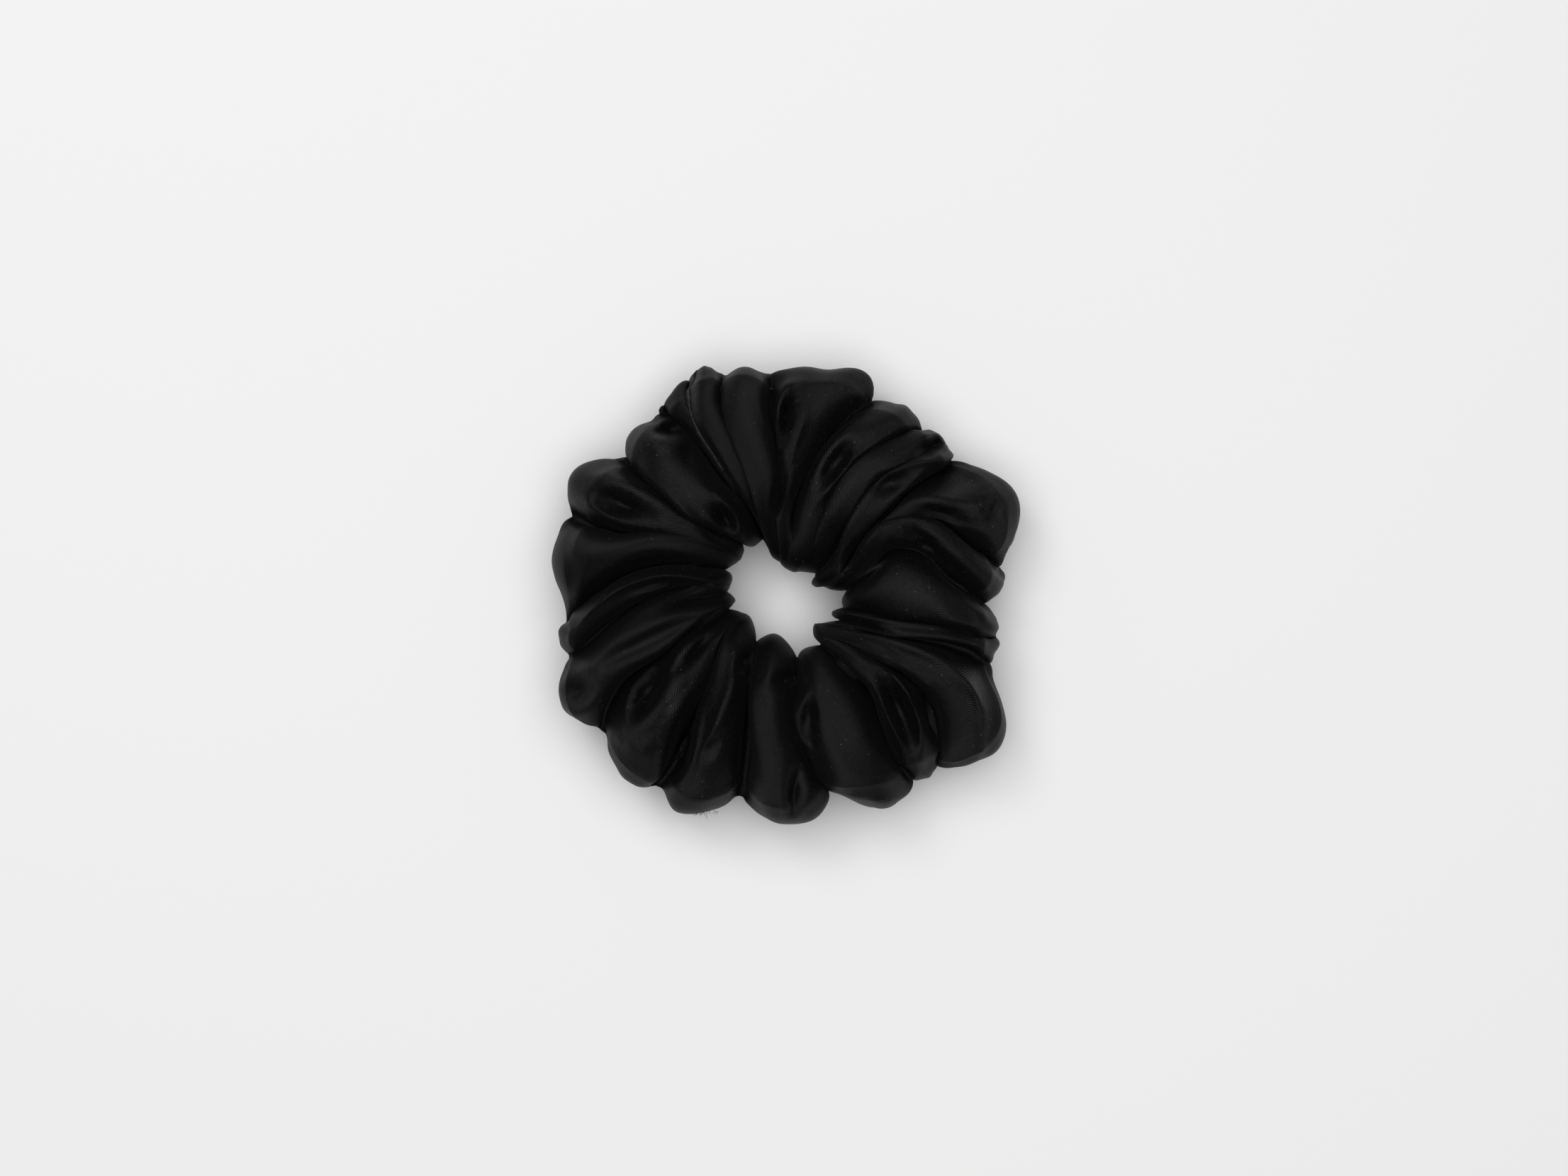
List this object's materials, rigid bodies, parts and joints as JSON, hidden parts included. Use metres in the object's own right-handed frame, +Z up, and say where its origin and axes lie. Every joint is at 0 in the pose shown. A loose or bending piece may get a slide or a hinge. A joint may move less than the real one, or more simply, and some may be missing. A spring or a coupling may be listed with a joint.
{
  "type": "scrunchie",
  "caption": "Gathered satin hair scrunchie: a puffy fabric hoop over a flat elastic loop that stretches to grip a ponytail.",
  "frame": {"origin": "on the surface that it rests on, under the middle of the hoop", "axes": "+Z up along the axis of the hoop, +Y from the half that is pulled towards the half that is held"},
  "size_m": [0.111, 0.11, 0.03],
  "materials": {
    "satin": "near-black satin weave, soft broad highlights",
    "elastic": "black braided flat elastic, matt",
    "thread": "black spun polyester sewing thread"
  },
  "bodies": {
    "held_half": {"cover_back": "satin", "elastic_inner_end": "elastic", "elastic_outer_end": "elastic", "elastic_bartack_thread": "thread", "closing_seam_thread": "thread", "long_seam_thread_back": "thread"},
    "pulled_half": {"cover_front": "satin", "elastic_front": "elastic", "long_seam_thread_front": "thread"}
  },
  "joints": [
    {"name": "stretch", "type": "slide", "parent": "held_half", "child": "pulled_half", "axis": [0, -1, 0], "range_m": [0, 0.07], "stiffness_N_per_m": 105}
  ]
}
